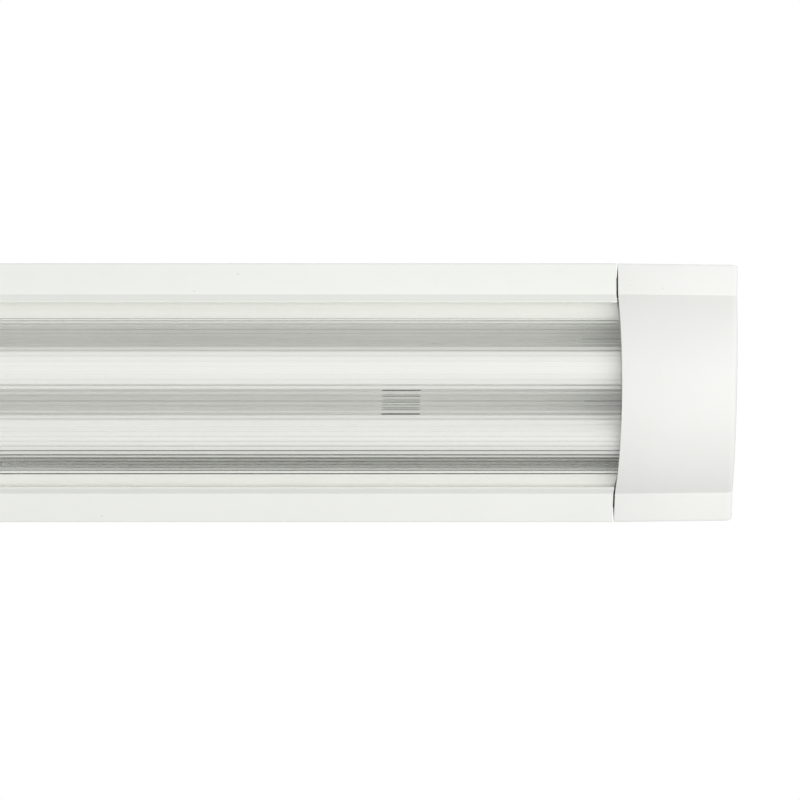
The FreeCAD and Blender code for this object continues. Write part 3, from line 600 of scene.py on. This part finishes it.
def start_piece(name, add_primitive, **place):
    """A new primitive, selected alone and in edit mode."""
    bpy.ops.object.select_all(action="DESELECT")
    add_primitive(**place)
    piece = bpy.context.object
    piece.name = piece.data.name = name
    bpy.ops.object.transform_apply(location=True, rotation=True, scale=True)
    bpy.ops.object.mode_set(mode="EDIT")
    return piece


def pick(kind, test):
    """Selects the VERT, EDGE or FACE parts of the mesh in edit mode that pass a test."""
    mesh = bpy.context.edit_object.data
    bpy.ops.mesh.select_mode(type=kind)
    bpy.ops.mesh.select_all(action="DESELECT")
    form = bmesh.from_edit_mesh(mesh)
    for part in {"VERT": form.verts, "EDGE": form.edges, "FACE": form.faces}[kind]:
        if test(part):
            part.select_set(True)
    form.select_flush_mode()
    bmesh.update_edit_mesh(mesh)


def apply_modifier(piece, kind, **settings):
    """Adds a modifier with its settings and applies it."""
    modifier = piece.modifiers.new(kind.lower(), kind)
    for name, value in settings.items():
        setattr(modifier, name, value)
    bpy.context.view_layer.objects.active = piece
    bpy.ops.object.modifier_apply(modifier=modifier.name)


def round_edges(piece, width, least_turn):
    """Rounds the edges that turn by more than an angle."""
    apply_modifier(piece, "BEVEL", width=width, segments=2, limit_method="ANGLE", angle_limit=least_turn)


def lies_along(edge, axis):
    """Whether an edge runs along one axis of the mesh."""
    way = (edge.verts[1].co - edge.verts[0].co).normalized()
    return abs(way[axis]) > ALONG


def flute_height(share, curve):
    """Height of a flute in pitches, at a share of the pitch from a valley up to half.

    The first quarter is a hollow arc and the second is the same arc turned over. The curve is their radius.
    """
    if share > 0.25:
        return 2 * flute_height(0.25, curve) - flute_height(0.5 - share, curve)
    return curve - math.sqrt(curve**2 - share**2)


def place_mesh(piece, matrix):
    """Moves the mesh, and leaves the object at the origin."""
    piece.data.transform(matrix)
    piece.data.update()


def extrude(step):
    """Extrudes what is selected by one step."""
    bpy.ops.mesh.extrude_region_move(TRANSFORM_OT_translate={"value": step})


def mirrored_copy(piece, name):
    """A copy of a finished piece for the other end of the batten, with its own mesh."""
    copy = piece.copy()
    copy.data = piece.data.copy()
    copy.name = copy.data.name = name
    bpy.context.scene.collection.objects.link(copy)
    place_mesh(copy, Matrix.Scale(-1, 4, (1, 0, 0)))
    copy.data.flip_normals()
    return copy


def dress(piece, replaced, smooth_angle=35.0):
    """Gives a finished piece the slot, material and body of the CAD node that it stands for."""
    node = frame["nodes"][replaced]
    bpy.ops.object.select_all(action="DESELECT")
    piece.select_set(True)
    bpy.context.view_layer.objects.active = piece
    bpy.ops.object.shade_smooth_by_angle(angle=math.radians(smooth_angle))
    if not any(piece.data.materials):
        piece.data.materials.append(node.material_slots[0].material)
    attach(piece, node["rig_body"])
    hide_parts(replaced)


class BATTEN_OT_camera(bpy.types.Operator):
    """Place the camera where the picture was taken from"""

    bl_idname = "batten.camera"
    bl_label = "Camera"

    def execute(self, context):
        view = context.scene.batten_view
        aim = Vector((view.aim_x, view.aim_y, -view.aim_depth))
        back = Vector((0, -math.sin(view.pitch), -math.cos(view.pitch)))
        camera = bpy.data.objects.new("camera", bpy.data.cameras.new("camera"))
        context.scene.collection.objects.link(camera)
        camera.location = aim + view.distance * back
        camera.rotation_euler = (-back).to_track_quat("-Z", "Y").to_euler()
        camera.data.lens = view.lens
        context.scene.camera = camera
        return {"FINISHED"}


class BATTEN_OT_studio(bpy.types.Operator):
    """Lay the pale floor and set the soft light"""

    bl_idname = "batten.studio"
    bl_label = "Floor and light"

    def execute(self, context):
        studio = context.scene.batten_studio
        self.lay_floor(studio)
        self.set_sky(context.scene, studio)
        self.hang_softbox(context.scene, studio)
        context.scene.view_settings.view_transform = "Standard"
        return {"FINISHED"}

    def lay_floor(self, studio):
        """The pale floor, far below, so that a view from below stays above it."""
        bpy.ops.mesh.primitive_plane_add(size=studio.floor_width, location=(0, 0, -studio.floor_drop))
        floor = bpy.context.object
        floor.name = "floor"
        material, tree, shader = new_finish("floor_paint", Roughness=0.7)
        drift = use_group(tree, "tone_drift",
                          {"Color": opaque(studio.floor_colour), "Amount": 0.03, "Scale": 1.2})
        tree.links.new(drift.outputs["Color"], shader.inputs["Base Color"])
        floor.data.materials.append(material)

    def set_sky(self, scene, studio):
        """Soft light from all round, and what shows past the batten and through its cover."""
        world = bpy.data.worlds.new("soft_sky")
        world.use_nodes = True
        tree = world.node_tree
        tree.nodes.clear()
        way = add(tree, "ShaderNodeTexCoord").outputs["Generated"]
        parts = add(tree, "ShaderNodeSeparateXYZ", {0: way}).outputs
        upright = ranged(tree, parts[2], -studio.horizon, studio.horizon, studio.sky_below, studio.sky)
        across = ranged(tree, parts[1], -1.0, 1.0, 1 + studio.sky_slope, 1 - studio.sky_slope)
        strength = product(tree, upright, across)
        light = add(tree, "ShaderNodeBackground", {"Color": WHITE, "Strength": strength})
        path = add(tree, "ShaderNodeLightPath")
        through = path.outputs["Is Transmission Ray"]
        above = add(tree, "ShaderNodeMath", {0: parts[2], 1: studio.overhead}, operation="GREATER_THAN")
        ceiling = product(tree, through, above.outputs[0])
        view = ranged(tree, ceiling, 0.0, 1.0, studio.backdrop, studio.ceiling)
        seen = add(tree, "ShaderNodeBackground", {"Color": WHITE, "Strength": view})
        direct = add(tree, "ShaderNodeMath", {0: path.outputs["Is Camera Ray"], 1: through},
                     operation="MAXIMUM")
        choice = add(tree, "ShaderNodeMixShader",
                     {0: direct.outputs[0], 1: light.outputs[0], 2: seen.outputs[0]})
        add(tree, "ShaderNodeOutputWorld", {"Surface": choice.outputs[0]})
        scene.world = world

    def hang_softbox(self, scene, studio):
        """The large soft lamp below, which shines up."""
        lamp = bpy.data.lights.new("softbox", "AREA")
        lamp.shape = "RECTANGLE"
        lamp.size, lamp.size_y = studio.softbox_width, studio.softbox_depth
        lamp.energy = studio.softbox_power
        softbox = bpy.data.objects.new("softbox", lamp)
        scene.collection.objects.link(softbox)
        softbox.location = (studio.softbox_x, studio.softbox_y, -studio.softbox_drop)
        softbox.rotation_euler = (math.pi, 0, 0)
        softbox.visible_camera = False


class BATTEN_OT_finishes(bpy.types.Operator):
    """Give every CAD node its finish"""

    bl_idname = "batten.finishes"
    bl_label = "Finishes"

    def execute(self, context):
        made = {finish.__name__: finish(context.scene.batten_finish) for finish in FINISHES}
        for name, node in frame["nodes"].items():
            for slot in node.material_slots:
                slot.material = made[SLOT_OF[name]]
        return {"FINISHED"}


class BATTEN_OT_cover(bpy.types.Operator):
    """Model the clear cover: a flat sheet, fluted on one side and bent to its arch"""

    bl_idname = "batten.cover"
    bl_label = "Fluted cover"

    def execute(self, context):
        cover = context.scene.batten_cover
        low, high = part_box("light_cover")
        rise = high.z - low.z
        radius = (high.y**2 + rise**2) / (2 * rise)
        half_turn = math.asin(high.y / radius) * cover.overbend
        piece = start_piece("fluted_cover", bpy.ops.mesh.primitive_cube_add, size=1)
        bpy.ops.transform.resize(value=(high.x - low.x, cover.wall, 2 * half_turn * radius))
        bpy.ops.transform.translate(value=(0, cover.wall / 2, 0))
        lines = self.valley_lines(cover, radius)
        for line in lines:
            bpy.ops.mesh.select_all(action="SELECT")
            bpy.ops.mesh.bisect(plane_co=(0, 0, line), plane_no=(0, 0, 1))
        pick("EDGE", lambda edge: lies_along(edge, 2) and abs(self.middle(edge)) < lines[-1])
        bpy.ops.mesh.subdivide(number_cuts=cover.flute_steps - 1)
        self.raise_flutes(cover, lines)
        bpy.ops.object.mode_set(mode="OBJECT")
        apply_modifier(piece, "SIMPLE_DEFORM", deform_method="BEND", deform_axis="X", angle=2 * half_turn)
        place_mesh(piece, Matrix.Translation((0, 0, low.z)) @ Matrix.Rotation(math.pi / 2, 4, "X"))
        bpy.ops.object.mode_set(mode="EDIT")
        bpy.ops.mesh.select_all(action="SELECT")
        bpy.ops.mesh.bisect(plane_co=(0, 0, high.z), plane_no=(0, 0, 1), use_fill=True, clear_outer=True)
        bpy.ops.object.mode_set(mode="OBJECT")
        round_edges(piece, cover.edge_round, SHARP)
        dress(piece, "light_cover", smooth_angle=50.0)
        return {"FINISHED"}

    def middle(self, edge):
        """Place across the flat sheet of an edge's middle."""
        return (edge.verts[0].co.z + edge.verts[1].co.z) / 2

    def raise_flutes(self, cover, lines):
        """Lifts each line of the inner side to its height on the flutes' even waves."""
        curve = 0.25 / math.sin(cover.flute_slope)
        gaps = list(zip(lines, lines[1:]))
        for width in sorted({round(right - left, 6) for left, right in gaps}):
            alike = [(left, right) for left, right in gaps if abs(right - left - width) < NEAR]
            near = width / (4 * cover.flute_steps)
            for step in range(1, cover.flute_steps // 2 + 1):
                share = step / cover.flute_steps
                places = [left + part * (right - left)
                          for left, right in alike for part in (share, 1 - share)]
                pick("VERT", lambda v: v.co.y > cover.wall / 2
                     and any(abs(v.co.z - place) < near for place in places))
                bpy.ops.transform.translate(value=(0, width * flute_height(share, curve), 0))

    def valley_lines(self, cover, radius):
        """Places of the valleys between flutes on the flat sheet, from one side to the other."""
        inner = radius - cover.wall
        places = [0.0]
        for limit, pitch in ((cover.fine_start, cover.pitch), (cover.fine_end, cover.fine_pitch),
                             (cover.flutes_end, cover.pitch)):
            step = pitch / inner
            while inner * math.sin(places[-1] + step) < limit:
                places.append(places[-1] + step)
        return [radius * place for place in [-place for place in reversed(places[1:])] + places]


class BATTEN_OT_caps(bpy.types.Operator):
    """Model an end cap: its outline drawn out along the batten, cut at a lean, rounded and hollowed"""

    bl_idname = "batten.caps"
    bl_label = "End caps"

    def execute(self, context):
        cap = context.scene.batten_cap
        low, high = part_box("end_cap_right")
        seam = low.x + cap.tongue_reach + cap.seam_room
        piece = start_piece("end_cap_moulding_right", bpy.ops.mesh.primitive_circle_add,
                            vertices=cap.arch_steps, radius=self.arch_radius(cap, low),
                            rotation=(0, math.pi / 2, 0))
        self.draw_outline(cap, low, seam)
        self.draw_out(cap, seam, high.x)
        bpy.ops.object.mode_set(mode="OBJECT")
        piece.data.materials.append(frame["nodes"]["end_cap_right"].material_slots[0].material)
        # The second material, for the inner faces that the solidify makes, is painted shade: near black where
        # the real cap is white plastic in shadow
        piece.data.materials.append(cap_inside_painted_shade(context.scene.batten_finish))
        apply_modifier(piece, "SOLIDIFY", thickness=cap.wall, offset=-1, use_even_offset=True,
                       material_offset=1)
        bpy.ops.object.mode_set(mode="EDIT")
        pick("VERT", lambda v: v.co.z > -cap.wall / 2)
        bpy.ops.transform.resize(value=(1, 1, 0), center_override=(0, 0, 0))
        self.round_end(cap, low, high.x - cap.end_round)
        for side in (-1, 1):
            self.add_tongue(cap, seam, side)
        bpy.ops.object.mode_set(mode="OBJECT")
        round_edges(piece, cap.lip_round, SHARP)
        left = mirrored_copy(piece, "end_cap_moulding_left")
        dress(piece, "end_cap_right")
        dress(left, "end_cap_left")
        return {"FINISHED"}

    def arch_radius(self, cap, low):
        """Radius of the arch between the creases and the crown."""
        rise = -low.z - cap.crease_depth
        return (cap.crease_half_width**2 + rise**2) / (2 * rise)

    def draw_outline(self, cap, low, seam):
        """The open outline at the seam: the arch's part of the circle, the flanges and the sides."""
        bpy.ops.transform.translate(value=(seam, 0, low.z + self.arch_radius(cap, low)))
        bpy.ops.mesh.select_all(action="SELECT")
        bpy.ops.mesh.bisect(plane_co=(0, 0, -cap.crease_depth), plane_no=(0, 0, 1), clear_outer=True)
        flange = cap.rim_half_width - cap.crease_half_width
        for side in (-1, 1):
            pick("VERT", lambda v: abs(v.co.z + cap.crease_depth) < NEAR and side * v.co.y > 0)
            extrude((0, side * flange, cap.crease_depth - cap.rim_depth))
            extrude((0, side * (cap.floor_half_width - cap.rim_half_width), cap.rim_depth))
        pick("VERT", lambda v: abs(v.co.z + cap.rim_depth) < NEAR)
        bpy.ops.mesh.bevel(offset=cap.rim_reach, segments=cap.rim_steps, affect="VERTICES")
        pick("VERT", lambda v: abs(v.co.z + cap.crease_depth) < NEAR)
        bpy.ops.mesh.bevel(offset=cap.crease_round, segments=cap.crease_steps, affect="VERTICES")

    def draw_out(self, cap, seam, end):
        """The shell: the outline drawn out to where the far end's round starts, and closed there."""
        lean = math.tan(cap.end_lean)
        bpy.ops.mesh.select_all(action="SELECT")
        extrude((end - seam, 0, 0))
        share = 1 - cap.taper / cap.rim_half_width
        bpy.ops.transform.resize(value=(1, share, 1), center_override=(end, 0, 0))
        bpy.ops.mesh.select_all(action="SELECT")
        start = end - cap.end_round
        bpy.ops.mesh.bisect(plane_co=(start, 0, 0), plane_no=(1, 0, -lean), clear_outer=True)
        pick("EDGE", lambda edge: all(self.past(v, lean) > start - NEAR for v in edge.verts))
        bpy.ops.mesh.edge_face_add()
        bpy.ops.mesh.select_all(action="SELECT")
        bpy.ops.mesh.normals_make_consistent(inside=False)

    def past(self, vertex, lean):
        """How far along the batten a point is, on a plane that leans as the far end does."""
        return vertex.co.x - lean * vertex.co.z

    def round_end(self, cap, low, start):
        """The far end's round, drawn out of its face in steps that get smaller."""
        lean = math.tan(cap.end_lean)
        pick("FACE", lambda face: all(self.past(v, lean) > start - NEAR for v in face.verts))
        reach, shares = 0.0, (1.0, 1.0)
        for step in range(1, cap.end_steps + 1):
            turn = step / cap.end_steps * math.pi / 2
            fall = 1 - math.cos(turn)
            smaller = (1 - cap.end_fall_across * fall / cap.rim_half_width, 1 + cap.end_fall * fall / low.z)
            extrude((cap.end_round * math.sin(turn) - reach, 0, 0))
            bpy.ops.transform.resize(value=(1, smaller[0] / shares[0], smaller[1] / shares[1]),
                                     center_override=(0, 0, 0))
            reach, shares = cap.end_round * math.sin(turn), smaller

    def add_tongue(self, cap, seam, side):
        """A tongue that slides into the hollow of the tray's rim, with a smaller tip."""
        middle = (cap.tongue_inner + cap.tongue_outer) / 2
        depth = (cap.tongue_top + cap.tongue_bottom) / 2
        root, tip = seam + cap.tongue_root, seam - cap.tongue_reach
        bpy.ops.mesh.select_all(action="DESELECT")
        bpy.ops.mesh.primitive_cube_add(size=1, location=((root + tip) / 2, side * middle, -depth))
        bpy.ops.transform.resize(value=(root - tip, cap.tongue_outer - cap.tongue_inner,
                                        cap.tongue_bottom - cap.tongue_top))
        # Painted shade: the tongue takes the near-black inner colour, so the seam beside it looks shadowed
        bpy.context.object.active_material_index = 1
        bpy.ops.object.material_slot_assign()
        bpy.ops.mesh.select_mode(type="VERT")
        form = bmesh.from_edit_mesh(bpy.context.edit_object.data)
        corners = [v for v in form.verts if v.select]
        outer = [v for v in corners if abs(v.co.y) > middle]
        upper, lower = [v for v in outer if v.co.z > -depth], [v for v in outer if v.co.z < -depth]
        for chosen, step in ((upper, -cap.tongue_fall), (lower, cap.tongue_rise)):
            pick("VERT", lambda v: v in chosen)
            bpy.ops.transform.translate(value=(0, 0, step))
        tips = [v for v in corners if v.co.x < seam]
        pick("VERT", lambda v: v in tips)
        bpy.ops.transform.resize(value=(1, cap.tongue_tip_share, cap.tongue_tip_share))


class BATTEN_OT_eased(bpy.types.Operator):
    """Ease the edges of the moulded and pressed parts inside"""

    bl_idname = "batten.eased"
    bl_label = "Eased parts"

    def execute(self, context):
        ease = context.scene.batten_ease
        widths = {"lamp_holder": ease.holder, "holder_rotor": ease.rotor, "holder_bracket": ease.bracket,
                  "terminal_block": ease.block, "tube_a_end_cap": ease.ferrule,
                  "tube_b_end_cap": ease.ferrule}
        for name in sorted(frame["nodes"]):
            for start, width in widths.items():
                if name.startswith(start):
                    self.ease_copy(ease, name, width)
        return {"FINISHED"}

    def ease_copy(self, ease, name, width):
        """A copy of a CAD node with its triangles joined into faces and its edges rounded."""
        mesh = frame["nodes"][name].data.copy()
        for mark in list(mesh.keys()):  # what the frame wrote on the node's own mesh
            del mesh[mark]
        piece = bpy.data.objects.new(name + "_eased", mesh)
        mesh.name = piece.name
        bpy.context.scene.collection.objects.link(piece)
        bpy.ops.object.select_all(action="DESELECT")
        piece.select_set(True)
        bpy.context.view_layer.objects.active = piece
        bpy.ops.object.mode_set(mode="EDIT")
        bpy.ops.mesh.select_all(action="SELECT")
        bpy.ops.mesh.remove_doubles(threshold=TOUCHING)
        bpy.ops.mesh.dissolve_limited(angle_limit=ease.flat_turn)
        bpy.ops.object.mode_set(mode="OBJECT")
        round_edges(piece, width, ease.least_turn)
        dress(piece, name)


class BATTEN_PT_sidebar(bpy.types.Panel):
    """Buttons that dress the batten, in their order"""

    bl_idname = "BATTEN_PT_sidebar"
    bl_label = "Batten"
    bl_space_type = "VIEW_3D"
    bl_region_type = "UI"
    bl_category = "Batten"

    def draw(self, context):
        for operator in OPERATORS:
            self.layout.operator(operator.bl_idname)


SETTINGS = {"batten_view": BATTEN_PG_view, "batten_studio": BATTEN_PG_studio,
            "batten_finish": BATTEN_PG_finish, "batten_cover": BATTEN_PG_cover, "batten_cap": BATTEN_PG_cap,
            "batten_ease": BATTEN_PG_ease}
OPERATORS = (BATTEN_OT_camera, BATTEN_OT_studio, BATTEN_OT_finishes, BATTEN_OT_cover, BATTEN_OT_caps,
             BATTEN_OT_eased)
CLASSES = (*SETTINGS.values(), *OPERATORS, BATTEN_PT_sidebar)


def register():
    """Adds the settings and the buttons."""
    for made in CLASSES:
        bpy.utils.register_class(made)
    for name, group in SETTINGS.items():
        setattr(bpy.types.Scene, name, PointerProperty(type=group))


def unregister():
    """Takes the settings and the buttons away."""
    for name in SETTINGS:
        delattr(bpy.types.Scene, name)
    for made in reversed(CLASSES):
        bpy.utils.unregister_class(made)


def make_groups():
    """The shared effects, built once."""
    for make in (make_grain_group, make_drift_group, make_dust_group, make_drawn_group):
        tree = make()
        GROUPS[tree.name] = tree


def main():
    """Dresses the batten: every operator once, in the panel's order."""
    register()
    make_groups()
    for operator in OPERATORS:
        group, name = operator.bl_idname.split(".")
        getattr(getattr(bpy.ops, group), name)()


if __name__ == "__main__":
    main()
